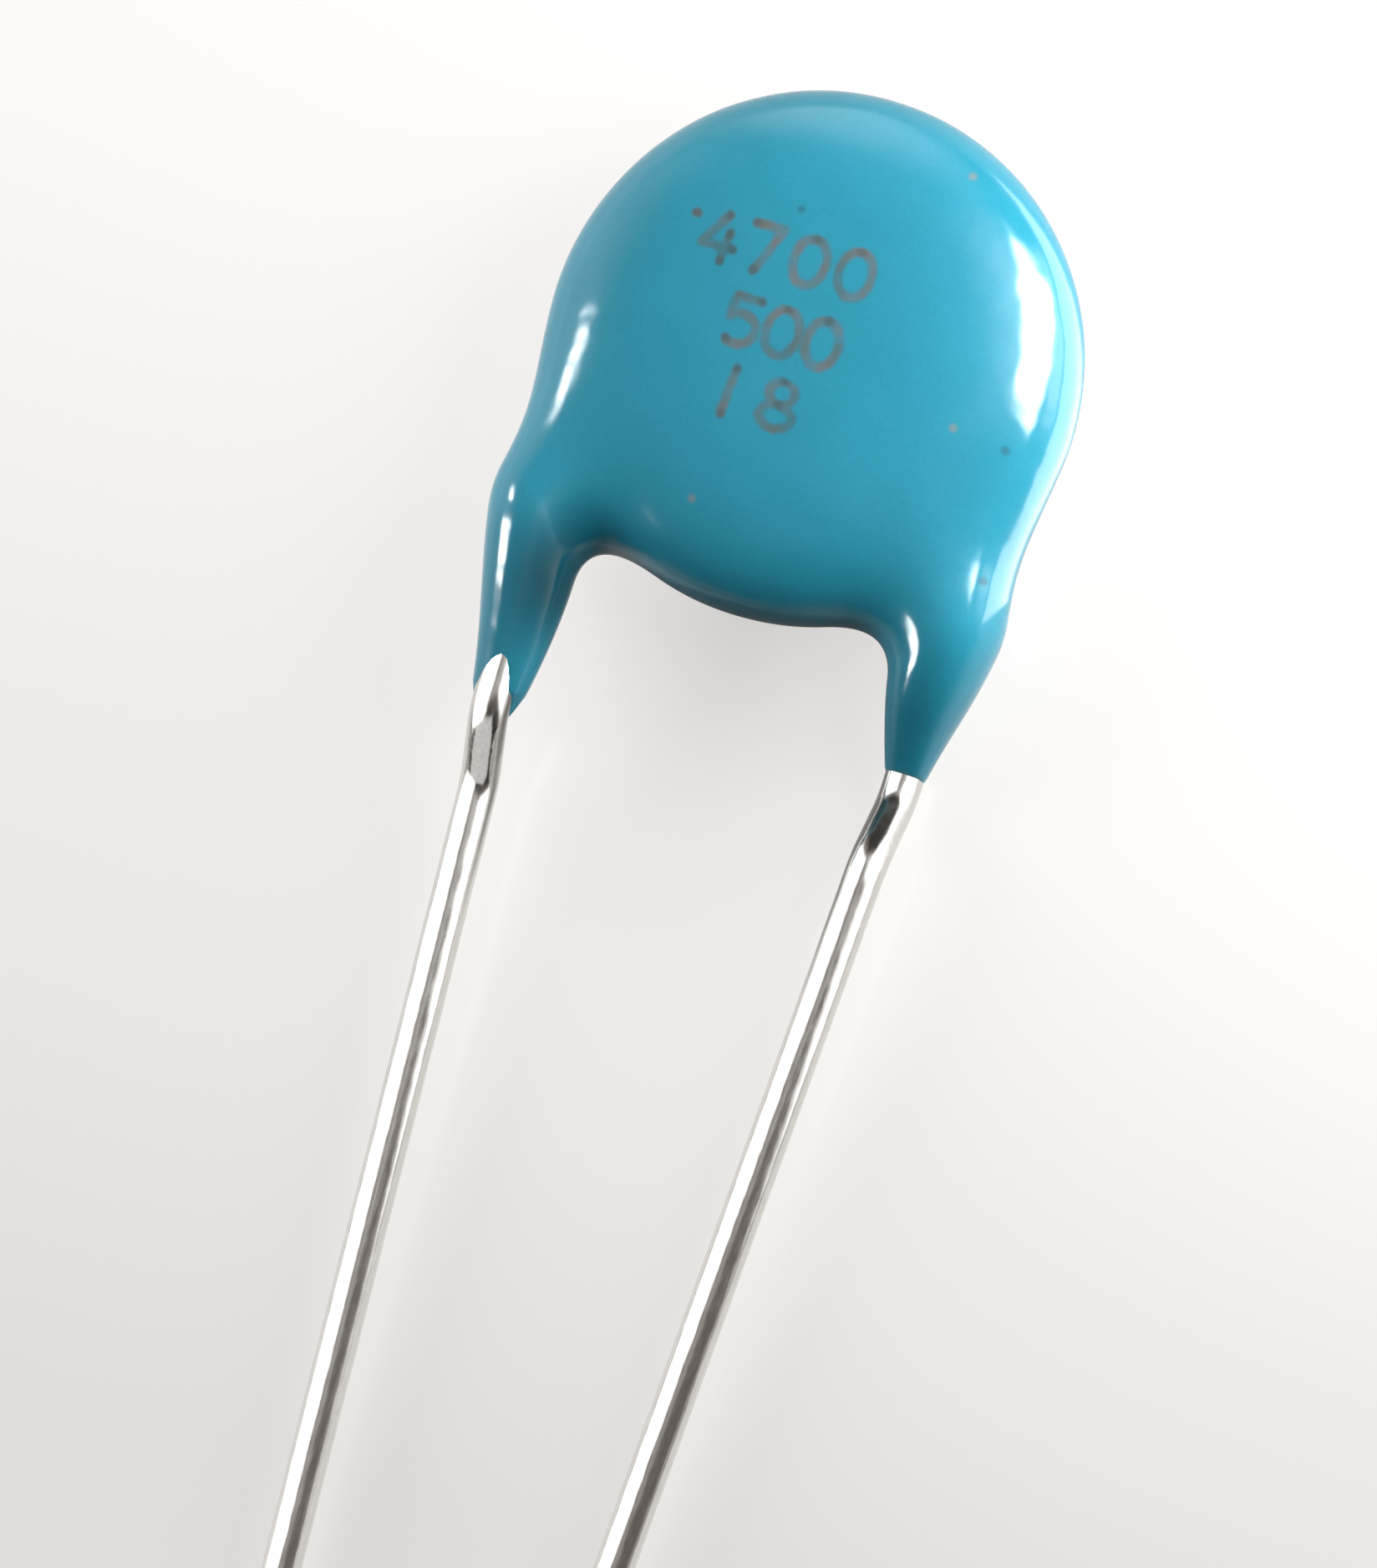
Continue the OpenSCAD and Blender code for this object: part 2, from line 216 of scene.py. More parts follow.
def leg_depth_group(soft_group):
    """Below zero inside the oval sleeve, above zero outside, in millimetres near the skin."""
    sizes = {name: (FLOAT, value) for name, value in LEGS["front"].items()}
    tree, given = new_tree("leg_depth", {"Point": (VECTOR, None), **sizes}, ("Depth", FLOAT))
    point = add(tree, "ShaderNodeSeparateXYZ", {0: given["Point"]})
    tip, shoulder = (add(tree, MATHS, {0: given[name], 1: -1.0}, operation="MULTIPLY")
                     for name in ("Tip drop", "Shoulder drop"))
    above = add(tree, MATHS, {0: point.outputs["Y"], 1: shoulder}, operation="SUBTRACT")
    above = add(tree, MATHS, {0: above, 1: 0.0}, operation="MAXIMUM")
    # The share of the way from the end to the shoulder, eased into 1 there.
    widened = add(tree, RANGE, {0: point.outputs["Y"], 1: tip, 2: shoulder}, clamp=False)
    widened = add(tree, GROUP, {"A": widened, "B": 1.0, "Reach": SHOULDER_ROUND},
                  node_tree=soft_group)
    # Past the tip the sleeve closes fast, down inside the wire.
    past = add(tree, MATHS, {0: tip, 1: point.outputs["Y"]}, operation="SUBTRACT")
    past = add(tree, MATHS, {0: past, 1: 0.0}, operation="MAXIMUM")
    spans = {}
    for span, closing in CLOSING.items():
        at_tip, at_shoulder = given[span + " at tip"], given[span + " at shoulder"]
        rise = add(tree, MATHS, {0: at_shoulder, 1: at_tip}, operation="SUBTRACT")
        size = add(tree, MATHS, {0: widened, 1: rise, 2: at_tip}, operation="MULTIPLY_ADD")
        spans[span] = add(tree, MATHS, {0: past, 1: closing, 2: size}, operation="MULTIPLY_ADD")
    # The sleeve's middle lies between its outer and inner side, and a little outward.
    half_x = add(tree, MATHS, {0: spans["Half"], 1: LEAST_HALF}, operation="MAXIMUM")
    lift = add(tree, MATHS, {0: spans["Over"], 1: spans["Under"]}, operation="SUBTRACT")
    middle_z = add(tree, MATHS, {0: lift, 1: 0.5, 2: WIRE_Z}, operation="MULTIPLY_ADD")
    middle_z = add(tree, MATHS, {0: middle_z, 1: given["Side"]}, operation="MULTIPLY")
    both = add(tree, MATHS, {0: spans["Over"], 1: spans["Under"]}, operation="ADD")
    half_z = add(tree, MATHS, {0: both, 1: 0.5, 2: WIRE_D / 2}, operation="MULTIPLY_ADD")
    half_z = add(tree, MATHS, {0: half_z, 1: LEAST_HALF}, operation="MAXIMUM")
    twice = add(tree, MATHS, {0: widened, 1: widened}, operation="MULTIPLY")
    middle_x = add(tree, MATHS, {0: twice, 1: given["Outward"], 2: WIRE_PITCH / 2},
                   operation="MULTIPLY_ADD")
    middle_x = add(tree, MATHS, {0: middle_x, 1: given["Side"]}, operation="MULTIPLY")
    x = add(tree, MATHS, {0: point.outputs["X"], 1: middle_x}, operation="ADD")
    z = add(tree, MATHS, {0: point.outputs["Z"], 1: middle_z}, operation="SUBTRACT")
    shares = [add(tree, MATHS, {0: part, 1: half}, operation="DIVIDE")
              for part, half in ((x, half_x), (above, given["Cap"]), (z, half_z))]
    arm = add(tree, "ShaderNodeCombineXYZ", dict(enumerate(shares)))
    reach = add(tree, VECTORS, {0: arm}, operation="LENGTH").outputs["Value"]
    mean = add(tree, MATHS, {0: half_x, 1: half_z}, operation="ADD")
    mean = add(tree, MATHS, {0: mean, 1: 0.5}, operation="MULTIPLY")
    reach = add(tree, MATHS, {0: reach, 1: 1.0}, operation="SUBTRACT")
    beyond = add(tree, MATHS, {0: past, 1: TAIL}, operation="SUBTRACT")
    beyond = add(tree, MATHS, {0: beyond, 1: 0.0}, operation="MAXIMUM")
    depth = add(tree, MATHS, {0: reach, 1: mean, 2: beyond}, operation="MULTIPLY_ADD")
    add(tree, GROUP_OUT, {0: depth})
    return tree


# %% The whole coat
UNEVEN_DEPTH, UNEVEN_LENGTH = 0.03, 2.4  # in millimetres


def coat_depth_group():
    """The disc and both legs melted together; the flow of the dip only thins the coat."""
    tree, given = new_tree("coat_depth", {
        "Point": (VECTOR, None), "Web blend": (FLOAT, WEB_BLEND)}, ("Depth", FLOAT))
    soft_group = soft_min_group()
    disc_group, leg_group = disc_depth_group(), leg_depth_group(soft_group)
    depth = add(tree, GROUP, {"Point": given["Point"], **DISC}, node_tree=disc_group)
    for leg in LEGS.values():
        under_leg = add(tree, GROUP, {"Point": given["Point"], **leg}, node_tree=leg_group)
        depth = add(tree, GROUP, {
            "A": depth, "B": under_leg, "Reach": given["Web blend"]}, node_tree=soft_group)
    flow = add(tree, NOISE, {"Vector": given["Point"], "Scale": 1 / UNEVEN_LENGTH, "Detail": 1.0})
    depth = add(tree, MATHS, {0: flow, 1: UNEVEN_DEPTH, 2: depth}, operation="MULTIPLY_ADD")
    add(tree, GROUP_OUT, {0: depth})
    return tree


COAT_DEPTH = coat_depth_group()
print("groups:", [group.name for group in bpy.data.node_groups])

# %% [markdown]
# ## The marking
# The value is burnt into the epoxy by a laser that draws each figure with a
# single line, as a pen would. Its strokes are drawn here the same way, as open
# lines of edges, and the skin then stores its distance from them. A distance
# stays smooth on a mesh that is much coarser than the stroke, so the finish can
# draw a clean line from it. The figures are plain numbers in three rows, with
# the dot that the laser leaves where it starts.

# %% Figures drawn with one pen
def ring(x, y, half_width, half_height, first=0, last=360, step=22.5):
    """Points round an oval from one angle to another, clockwise from the top, in degrees."""
    angles = [math.radians(first + i * step) for i in range(round((last - first) / step) + 1)]
    return [(x + half_width * math.sin(a), y + half_height * math.cos(a)) for a in angles]


# Each figure is one or more lines across a box of 1 by 1.
STROKES = {
    "0": [ring(0.5, 0.5, 0.5, 0.5)],
    "1": [[(0.55, 1), (0.45, 0)]],
    "4": [[(0.62, 1), (0.0, 0.3), (1.0, 0.3)], [(0.78, 0.62), (0.72, 0)]],
    "5": [[(0.9, 1), (0.15, 1), (0.08, 0.56)] + ring(0.45, 0.33, 0.5, 0.33, -40, 220, 20)],
    "7": [[(0.05, 1), (0.95, 1), (0.35, 0)]],
    "8": [ring(0.5, 0.75, 0.4, 0.25, step=360 / 14), ring(0.5, 0.25, 0.5, 0.25)],
}
FIGURE_W, FIGURE_H = 0.5, 0.7
# Each row: the figures, the left edge and base line of the first one, and the pitch.
ROWS = [("4700", -1.84, 1.0, 0.71), ("500", -1.12, -0.1, 0.62), ("18", -1.02, -1.13, 0.78)]
START_DOT, DOT_LENGTH = (-2.05, 1.6), 0.03


def line_mesh(name, lines):
    """Open lines of points as a mesh of edges."""
    points, edges = [], []
    for line in lines:
        edges += [(len(points) + i, len(points) + i + 1) for i in range(len(line) - 1)]
        points += line
    mesh = bpy.data.meshes.new(name)
    mesh.from_pydata(points, edges, [])
    return mesh


def marking_lines():
    """The marking's pen lines, on the plane of the ceramic."""
    lines = [[(*START_DOT, 0), (START_DOT[0] + DOT_LENGTH, START_DOT[1], 0)]]
    for figures, left, base, pitch in ROWS:
        for i, figure in enumerate(figures):
            x0 = left + i * pitch
            lines += [[(x0 + FIGURE_W * x, base + FIGURE_H * y, 0) for x, y in line]
                      for line in STROKES[figure]]
    return lines


def helper_object(name, mesh):
    """An object that only feeds a tree and is removed afterwards."""
    made = bpy.data.objects.new(name, mesh)
    scene.collection.objects.link(made)
    return made


pen_lines = marking_lines()
pen_object = helper_object("pen_lines", line_mesh("pen_lines", pen_lines))
pen_ends = [end for line in pen_lines for end in (line[0], line[-1])]
dwell_object = helper_object("pen_ends", line_mesh("pen_ends", [[end] for end in pen_ends]))
print(len(pen_lines), "pen lines")

# %% [markdown]
# Dust that settled in the wet coat left a few specks. Each is a point on the
# marked side, and the skin stores its distance from the nearest one as well.

# %% Specks in the coat
SPECKS = {"dark": [(-0.53, 2.06), (3.36, -0.47), (3.56, -2.37)],
          "tan": [(2.58, -0.38), (1.67, 3.24), (-0.86, -2.43)]}
speck_objects = {kind: helper_object(kind + "_specks", line_mesh(kind + "_specks", [
    [(x, y, 0)] for x, y in places])) for kind, places in SPECKS.items()}
print({kind: len(places) for kind, places in SPECKS.items()})

# %% [markdown]
# ## The skin
# Geometry Nodes fill a box with a volume whose density is the depth, and turn
# its zero level into a mesh. A mesh from a volume is faintly stepped, and a
# glossy coat would show every step, so each point is then slid along the
# steepest line onto the exact skin. The slide reads the rule at four places.

# %% Slide a point onto the skin
PROBE = 0.004  # the distance from a point to its three neighbours
SLIDES = 2


def slide_group():
    """One step of a point toward the zero level of the coat's depth."""
    tree, given = new_tree("slide_to_skin", {"Point": (VECTOR, None)}, ("Point", VECTOR))
    here = add(tree, GROUP, {"Point": given["Point"]}, node_tree=COAT_DEPTH)
    slopes = []
    for axis in range(3):
        aside = add(tree, VECTORS, {0: given["Point"], 1: [PROBE * (axis == i) for i in range(3)]},
                    operation="ADD")
        there = add(tree, GROUP, {"Point": aside}, node_tree=COAT_DEPTH)
        rise = add(tree, MATHS, {0: there, 1: here}, operation="SUBTRACT")
        slopes.append(add(tree, MATHS, {0: rise, 1: PROBE}, operation="DIVIDE"))
    slope = add(tree, "ShaderNodeCombineXYZ", dict(enumerate(slopes)))
    square = add(tree, VECTORS, {0: slope, 1: slope}, operation="DOT_PRODUCT").outputs["Value"]
    share = add(tree, MATHS, {0: here, 1: square}, operation="DIVIDE")
    step = add(tree, VECTORS, {0: slope, "Scale": share}, operation="SCALE")
    moved = add(tree, VECTORS, {0: given["Point"], 1: step}, operation="SUBTRACT")
    add(tree, GROUP_OUT, {0: moved})
    return tree


# %% The coat's tree
VOXEL = 0.05
BOX_LOW, BOX_HIGH = (-4.3, -7.0, -1.8), (4.3, 4.3, 1.8)
FRONT_ONLY_Z = 0.2  # skin below this height has no marking and no specks
FAR = 9.0  # the distance stored there
# Each stored distance, the input that it is measured from, and to what on it.
STORED = [("mark_mm", "Pen lines", "EDGES"), ("dwell_mm", "Pen ends", "POINTS"),
          ("dark_speck_mm", "Dark specks", "POINTS"), ("tan_speck_mm", "Tan specks", "POINTS")]


def coat_tree(material):
    """Volume from the depth, mesh from the volume, then the stored distances and the finish."""
    tree, given = new_tree("epoxy_coat", {
        "Voxel": (FLOAT, VOXEL), "Pen lines": (OBJECT, None), "Pen ends": (OBJECT, None),
        "Dark specks": (OBJECT, None), "Tan specks": (OBJECT, None)}, ("Geometry", GEOMETRY))
    position = add(tree, "GeometryNodeInputPosition")
    depth = add(tree, GROUP, {"Point": position}, node_tree=COAT_DEPTH)
    inside = add(tree, MATHS, {0: depth, 1: -1.0}, operation="MULTIPLY")
    counts = [add(tree, MATHS, {0: high - low, 1: given["Voxel"]}, operation="DIVIDE")
              for low, high in zip(BOX_LOW, BOX_HIGH)]
    cube = add(tree, "GeometryNodeVolumeCube", {
        "Density": inside, "Background": -1.0, "Min": BOX_LOW, "Max": BOX_HIGH,
        "Resolution X": counts[0], "Resolution Y": counts[1], "Resolution Z": counts[2]})
    shape = add(tree, "GeometryNodeVolumeToMesh", {"Volume": cube, "Threshold": 0.0})
    slide = slide_group()
    for _ in range(SLIDES):
        moved = add(tree, GROUP, {"Point": position}, node_tree=slide)
        shape = add(tree, "GeometryNodeSetPosition", {"Geometry": shape, "Position": moved})
    parts = add(tree, "ShaderNodeSeparateXYZ", {0: position})
    flat = add(tree, "ShaderNodeCombineXYZ", {0: parts.outputs["X"], 1: parts.outputs["Y"]})
    behind = add(tree, MATHS, {0: parts.outputs["Z"], 1: FRONT_ONLY_Z}, operation="LESS_THAN")
    for name, source, target in STORED:
        lines = add(tree, "GeometryNodeObjectInfo", {"Object": given[source]})
        near = add(tree, "GeometryNodeProximity", {
            "Geometry": lines.outputs["Geometry"], "Sample Position": flat}, target_element=target)
        far = add(tree, MATHS, {0: behind, 1: FAR, 2: near.outputs["Distance"]},
                  operation="MULTIPLY_ADD")
        shape = add(tree, "GeometryNodeStoreNamedAttribute", {
            "Geometry": shape, "Name": name, "Value": far}, data_type="FLOAT", domain="POINT")
    shape = add(tree, "GeometryNodeSetShadeSmooth", {"Geometry": shape, "Shade Smooth": True})
    shape = add(tree, "GeometryNodeRealizeInstances", {"Geometry": shape})
    shape = add(tree, "GeometryNodeSetMaterial", {"Geometry": shape, "Material": material})
    add(tree, GROUP_OUT, {0: shape})
    return tree


# %% [markdown]
# ## From a tree to a piece
# A piece has to be a plain mesh in metres, in its place in the frame. This
# function runs a tree once on a start mesh, sets its inputs by their socket's
# identifier, keeps the result, and throws the modifier and its holder away.

# %% Run a tree
def piece_from_tree(name, tree, values, start=None):
    """The tree's result as a plain mesh object, moved from drawn millimetres to the table."""
    holder = helper_object(name + "_holder", start or bpy.data.meshes.new(name + "_start"))
    modifier = holder.modifiers.new("nodes", "NODES")
    modifier.node_group = tree
    for socket in tree.interface.items_tree:
        if socket.in_out == "INPUT" and socket.name in values:
            modifier[socket.identifier] = values[socket.name]
    graph = bpy.context.evaluated_depsgraph_get()
    mesh = bpy.data.meshes.new_from_object(
        holder.evaluated_get(graph), preserve_all_data_layers=True, depsgraph=graph)
    mesh.name = name
    mesh.transform(LAY)
    bpy.data.objects.remove(holder)
    piece = bpy.data.objects.new(name, mesh)
    scene.collection.objects.link(piece)
    triangles = sum(len(face.vertices) - 2 for face in mesh.polygons)
    print(f"{name}: {len(mesh.vertices)} points, {triangles} triangles")
    return piece


# %% [markdown]
# ## The finish of the coat
# Dipped epoxy is a thick glossy paint: pigment in a clear resin with an index
# near 1.55. It levels itself, so its gloss is high and its unevenness is long
# and shallow. The colour is nearly even, with faint clouds where the pigment
# settled. Shade is painted into it: it darkens toward the feet of the legs, and
# most inside the front leg where it meets the disc. The laser chars the pigment
# to a warm grey and dulls the gloss.

# %% What every finish starts from
def millimetre_coordinates(tree, scale=(1.0, 1.0, 1.0)):
    """The piece's own coordinates in millimetres, each axis times scale."""
    place = add(tree, "ShaderNodeTexCoord").outputs["Object"]
    return add(tree, "ShaderNodeMapping", {"Vector": place, "Scale": [s / MM for s in scale]})


def new_finish(name):
    """An empty material with its output and a Principled shader."""
    material = bpy.data.materials.new(name)
    material.use_nodes = True
    tree = material.node_tree
    tree.nodes.clear()
    shader = add(tree, "ShaderNodeBsdfPrincipled")
    add(tree, "ShaderNodeOutputMaterial", {"Surface": shader})
    return material, tree, shader


def connect(tree, shader, values):
    """Feeds the shader's named sockets."""
    for name, value in values.items():
        tree.links.new(value, shader.inputs[name])


# %% The colour of the dip, with painted shade
CLOUD_LENGTH, GRAIN_LENGTH = 1.8, 0.06
CLOUD_COLOURS = "#288fa9", "#349eb8"
GRAIN_SHARE = 0.06
# Painted shade: where it begins to darken toward the feet, where it is full, and the share of
# colour left.
FOOT_TOP, FOOT_LOW = ((LAY @ Vector((0, y, 0))).y / MM for y in (-3.1, -4.7))
FOOT_SHADE = 0.8
# Painted shade, deepest inside the front leg where it meets the disc: its middle, its reach each
# way, and the share of colour left.
CROOK, CROOK_REACH, CROOK_SHADE = (-2.5, -4.05, 0.8), (1.1, 1.65, 1.6), 0.28
CROOK_CORE = 0.15


def pigment_and_painted_shade(tree, place):
    """Clouded blue pigment with a faint grain, and painted shade toward the feet and inside the
    front leg.
    """
    clouds = add(tree, NOISE, {"Vector": place, "Scale": 1 / CLOUD_LENGTH, "Detail": 2.0})
    deep, pale = map(colour, CLOUD_COLOURS)
    pigment = add(tree, MIX, {0: clouds, 6: deep, 7: pale}, data_type="RGBA")
    grain = add(tree, NOISE, {"Vector": place, "Scale": 1 / GRAIN_LENGTH, "Detail": 1.0})
    grain = add(tree, RANGE, {0: grain, 3: 1 - GRAIN_SHARE, 4: 1 + GRAIN_SHARE})
    height = add(tree, "ShaderNodeSeparateXYZ", {0: place}).outputs["Y"]
    # Painted shade: the colour darkens toward the feet of the legs.
    foot_shade = add(tree, RANGE, {0: height, 1: FOOT_TOP, 2: FOOT_LOW, 3: 1.0, 4: FOOT_SHADE}, **EASED)
    # Painted shade inside the front leg, where it meets the disc.
    away = add(tree, VECTORS, {0: place, 1: LAY @ Vector(CROOK) / MM}, operation="SUBTRACT")
    away = add(tree, VECTORS, {0: away, 1: [1 / reach for reach in CROOK_REACH]},
               operation="MULTIPLY")
    away = add(tree, VECTORS, {0: away}, operation="LENGTH").outputs["Value"]
    crook_shade = add(tree, RANGE, {0: away, 1: CROOK_CORE, 2: 1.0, 3: CROOK_SHADE, 4: 1.0}, **EASED)
    pigment = pigment.outputs[2]
    for share in (grain, foot_shade, crook_shade):
        pigment = add(tree, VECTORS, {0: pigment, "Scale": share}, operation="SCALE")
    return pigment


# %% The laser's marking
MARK_HALF, MARK_SOFT = 0.068, 0.038  # half the widths of the stroke and of its fading edge
WAVER, BITTEN = 0.035, (0.45, 0.95)  # the stroke's waver, and how much of its place is burnt
WAVERS_PER_MM, BITES_PER_MM, TONES_PER_MM = 7.0, 2.6, 1.1
DWELL_REACH, DWELL_CORE, DWELL_SHARE = 0.13, 0.03, 0.6
COOL_CHAR, WARM_CHAR, DEEP_CHAR = "#48605f", "#766c68", "#3b4f52"


def add_marking(tree, place, skin):
    """The skin with the burnt strokes on it, and the share of each place that is burnt."""
    # A stroke's distance wavers a little, and its edge fades over a few hundredths.
    mark = add(tree, "ShaderNodeAttribute", attribute_name="mark_mm").outputs["Fac"]
    waver = add(tree, NOISE, {"Vector": place, "Scale": WAVERS_PER_MM, "Detail": 2.0})
    waver = add(tree, RANGE, {0: waver, 3: -WAVER, 4: WAVER})
    mark = add(tree, MATHS, {0: mark, 1: waver}, operation="ADD")
    line = add(tree, RANGE, {
        0: mark, 1: MARK_HALF + MARK_SOFT, 2: MARK_HALF - MARK_SOFT}, **EASED)
    bite = add(tree, NOISE, {"Vector": place, "Scale": BITES_PER_MM, "Detail": 4.0})
    bite = add(tree, RANGE, {0: bite, 1: 0.32, 2: 0.68, 3: BITTEN[0], 4: BITTEN[1]})
    burnt = add(tree, MATHS, {0: line, 1: bite}, operation="MULTIPLY")
    warmth = add(tree, NOISE, {"Vector": place, "Scale": TONES_PER_MM, "Detail": 2.0})
    warmth = add(tree, RANGE, {0: warmth, 1: 0.35, 2: 0.65})
    char = add(tree, MIX, {
        0: warmth, 6: colour(COOL_CHAR), 7: colour(WARM_CHAR)}, data_type="RGBA")
    skin = add(tree, MIX, {0: burnt, 6: skin, 7: char.outputs[2]}, data_type="RGBA")
    # The laser dwells at the ends of a line and burns deeper there.
    dwell = add(tree, "ShaderNodeAttribute", attribute_name="dwell_mm").outputs["Fac"]
    dwell = add(tree, RANGE, {0: dwell, 1: DWELL_REACH, 2: DWELL_CORE, 4: DWELL_SHARE}, **EASED)
    deep = add(tree, MATHS, {0: line, 1: dwell}, operation="MULTIPLY")
    skin = add(tree, MIX, {0: deep, 6: skin.outputs[2], 7: colour(DEEP_CHAR)}, data_type="RGBA")
    return skin, burnt


# %% Dipped epoxy
SPECK_COLOURS = {"dark_speck_mm": "#2f5566", "tan_speck_mm": "#8f8d7c"}
SPECK_REACH, SPECK_CORE, SPECK_SHARE = 0.1, 0.02, 0.6
PEEL_LENGTH, PEEL_DEPTH, PEEL_STRENGTH = 0.5, 0.02, 0.6
GLOSS_ROUGH, CHAR_ROUGH = 0.13, 0.4
EPOXY_IOR = 1.55


def dipped_epoxy():
    """Blue pigmented epoxy, self-levelled to a high gloss, with a laser marking."""
    material, tree, shader = new_finish("dipped_epoxy")
    place = millimetre_coordinates(tree)
    skin, burnt = add_marking(tree, place, pigment_and_painted_shade(tree, place))
    for kind, dust in SPECK_COLOURS.items():
        speck = add(tree, "ShaderNodeAttribute", attribute_name=kind).outputs["Fac"]
        speck = add(tree, RANGE, {
            0: speck, 1: SPECK_REACH, 2: SPECK_CORE, 4: SPECK_SHARE}, **EASED)
        skin = add(tree, MIX, {0: speck, 6: skin.outputs[2], 7: colour(dust)}, data_type="RGBA")
    peel = add(tree, NOISE, {"Vector": place, "Scale": 1 / PEEL_LENGTH, "Detail": 1.0})
    relief = add(tree, "ShaderNodeBump", {
        "Strength": PEEL_STRENGTH, "Distance": PEEL_DEPTH * MM, "Height": peel})
    roughness = add(tree, RANGE, {0: burnt, 3: GLOSS_ROUGH, 4: CHAR_ROUGH})
    connect(tree, shader, {"Base Color": skin.outputs[2], "Roughness": roughness.outputs[0],
                           "Normal": relief.outputs[0]})
    shader.inputs["IOR"].default_value = EPOXY_IOR
    return material


# %% Make the coat
coat = piece_from_tree("epoxy_coat", coat_tree(dipped_epoxy()), {
    "Voxel": VOXEL, "Pen lines": pen_object, "Pen ends": dwell_object,
    "Dark specks": speck_objects["dark"], "Tan specks": speck_objects["tan"]})
for helper in (pen_object, dwell_object, *speck_objects.values()):
    bpy.data.objects.remove(helper)

# %% [markdown]
# ## The leads
# A lead is soft copper wire, tinned. It comes straight down from its solder
# joint inside the coat, jogs into the plane of the other lead, and runs on to
# its tip. A path with five corners says all of that; the tree rounds the
# corners, puts a fine round section along it, and waves the tin a little.

# %% The path of a lead
HOOK_ANGLE, HOOK_LENGTH, HOOK_DROP = math.radians(45), 3.0, 2.4
JOG_ANGLE = math.radians(33)
JOG_DROP = {"front": 6.25, "back": 5.75}
TIP_PITCH, LEAD_REACH = 3.9, 27.5


def lead_corners(side):
    """The corners of a lead, from the hook in the solder to the tip."""
    # The front wire is at the left and above the ceramic, the back one at the right and below.
    forward = LEGS[side]["Side"]
    x, z = -forward * WIRE_PITCH / 2, forward * WIRE_Z
    hook = (x + forward * HOOK_LENGTH * math.sin(HOOK_ANGLE),
            -HOOK_DROP + HOOK_LENGTH * math.cos(HOOK_ANGLE), z)
    drop = JOG_DROP[side]
    meet = drop + WIRE_Z / math.tan(JOG_ANGLE)
    return [hook, (x, -HOOK_DROP, z), (x, -drop, z), (x, -meet, 0),
            (math.copysign(TIP_PITCH / 2, x), -LEAD_REACH, 0)]


# %% The lead's tree
BEND_RADIUS, BEND_POINTS = 0.9, 16
SECTION_POINTS, PATH_STEP = 32, 0.1
RIPPLE_DEPTH, RIPPLE_LENGTH = 0.012, 0.7


def lead_tree(material):
    """Rounds the corners of a path, sweeps the wire along it and waves its skin."""
    tree, given = new_tree("tinned_lead", {
        "Path": (GEOMETRY, None), "Wire diameter": (FLOAT, WIRE_D),
        "Bend radius": (FLOAT, BEND_RADIUS), "Step": (FLOAT, PATH_STEP),
        "Ripple": (FLOAT, RIPPLE_DEPTH)}, ("Geometry", GEOMETRY))
    path = add(tree, "GeometryNodeMeshToCurve", {"Mesh": given["Path"]})
    path = add(tree, "GeometryNodeFilletCurve", {
        "Curve": path, "Count": BEND_POINTS, "Radius": given["Bend radius"]}, mode="POLY")
    path = add(tree, "GeometryNodeResampleCurve", {
        "Curve": path, "Length": given["Step"]}, mode="LENGTH")
    radius = add(tree, MATHS, {0: given["Wire diameter"], 1: 0.5}, operation="MULTIPLY")
    section = add(tree, "GeometryNodeCurvePrimitiveCircle", {
        "Resolution": SECTION_POINTS, "Radius": radius})
    wire = add(tree, "GeometryNodeCurveToMesh", {
        "Curve": path, "Profile Curve": section, "Fill Caps": True})
    place = add(tree, "GeometryNodeInputPosition")
    wave = add(tree, NOISE, {"Vector": place, "Scale": 1 / RIPPLE_LENGTH, "Detail": 1.0})
    # The ripple only thins the wire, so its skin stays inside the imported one.
    inward = add(tree, MATHS, {0: wave, 1: given["Ripple"]}, operation="MULTIPLY")
    inward = add(tree, MATHS, {0: inward, 1: -1.0}, operation="MULTIPLY")
    normal = add(tree, "GeometryNodeInputNormal")
    offset = add(tree, VECTORS, {0: normal, "Scale": inward}, operation="SCALE")
    wire = add(tree, "GeometryNodeSetPosition", {"Geometry": wire, "Offset": offset})
    wire = add(tree, "GeometryNodeSetShadeSmooth", {"Geometry": wire, "Shade Smooth": True})
    wire = add(tree, "GeometryNodeRealizeInstances", {"Geometry": wire})
    wire = add(tree, "GeometryNodeSetMaterial", {"Geometry": wire, "Material": material})
    add(tree, GROUP_OUT, {0: wire})
    return tree


# %% [markdown]
# ## The finish of the leads
# The copper is drawn through a bath of molten tin. Tin is a white metal with a
# bright, slightly drawn-out skin: fine streaks along the wire, and shallow
# waves that break every reflection into a ragged line.

# %% Tinned copper
# Waves and streaks to a millimetre on each axis: both are drawn out along the wire.
WAVES_PER_MM, STREAKS_PER_MM = (5.0, 0.9, 5.0), (25.0, 3.0, 25.0)
WAVE_STRENGTH, WAVE_DEPTH = 0.35, 0.02
TIN_COLOURS, TIN_ROUGH = ("#cfccc8", "#eceae6"), (0.1, 0.24)


